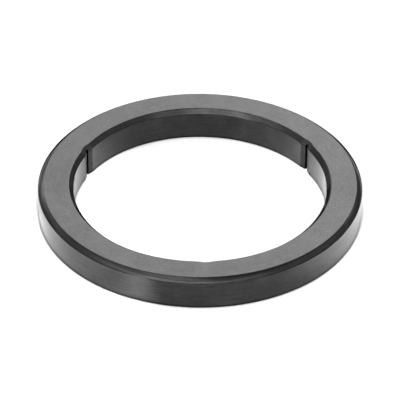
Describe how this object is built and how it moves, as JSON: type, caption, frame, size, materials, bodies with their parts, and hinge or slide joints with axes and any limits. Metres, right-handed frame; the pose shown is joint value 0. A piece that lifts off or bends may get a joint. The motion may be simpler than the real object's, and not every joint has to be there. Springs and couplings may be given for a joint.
{
  "type": "group head gasket",
  "caption": "Moulded black rubber ring with bevelled upper edges and shallow grooves in its bore, sealing a coffee machine's group head against the rim of a filter holder.",
  "frame": {"origin": "centre of the ring on its lower flat face", "axes": "+Z along the ring's axis, from the lower face towards the bevelled upper face; one bore groove lies on the -Y side"},
  "size_m": [0.073, 0.073, 0.0075],
  "materials": {
    "rubber": "moulded black rubber, semi-gloss on the walls and satin on the upper face"
  },
  "bodies": {
    "root": {"gasket_ring": "rubber"}
  },
  "joints": []
}
